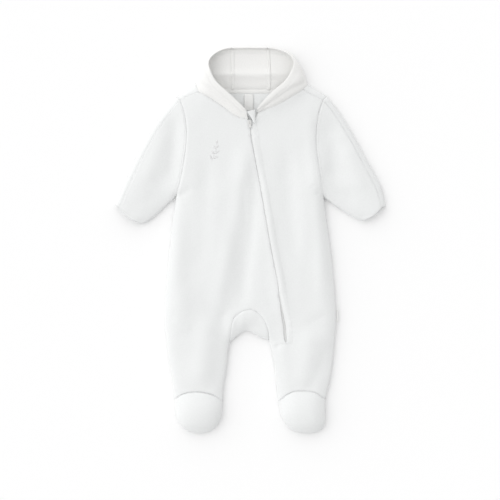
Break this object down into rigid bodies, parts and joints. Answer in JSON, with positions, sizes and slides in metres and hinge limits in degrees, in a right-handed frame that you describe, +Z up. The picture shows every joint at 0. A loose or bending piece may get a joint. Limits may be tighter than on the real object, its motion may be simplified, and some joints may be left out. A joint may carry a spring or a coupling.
{
  "type": "baby overall",
  "caption": "Hooded, footed fleece overall for a baby, with a slanting front zip from neck to leg, long sleeves and a gusset, laid flat on its back.",
  "frame": {"origin": "on the surface, under the middle of the garment's box", "axes": "+Y towards the hood, +X to the right of someone who looks down on the front, +Z up; the wearer's right is at -X"},
  "size_m": [0.4865, 0.6938, 0.0315],
  "materials": {
    "fleece": "brushed fleece, matt",
    "tape": "woven zip tape",
    "metal": "satin grey",
    "satin": "woven satin"
  },
  "bodies": {
    "garment": {"front_panel": "fleece", "back_panel": "fleece", "crotch_gusset": "fleece", "sleeve_front_right": "fleece", "sleeve_front_left": "fleece", "sleeve_back_right": "fleece", "sleeve_back_left": "fleece", "foot_top_right": "fleece", "foot_top_left": "fleece", "foot_sole_right": "fleece", "foot_sole_left": "fleece", "hood_side_right": "fleece", "hood_side_left": "fleece", "hood_centre": "fleece", "chin_guard": "fleece", "zip_tape": "tape", "zip_slider": "metal", "neck_label": "satin", "side_label": "satin"},
    "pull_tab": {"pull_tab": "metal"}
  },
  "joints": [
    {"name": "tab_turn", "type": "hinge", "parent": "garment", "child": "pull_tab", "pos_m": [-0.0017, 0.21041, 0.0198], "axis": [-0.9865, -0.164, 0], "range_deg": [0, 90]}
  ]
}
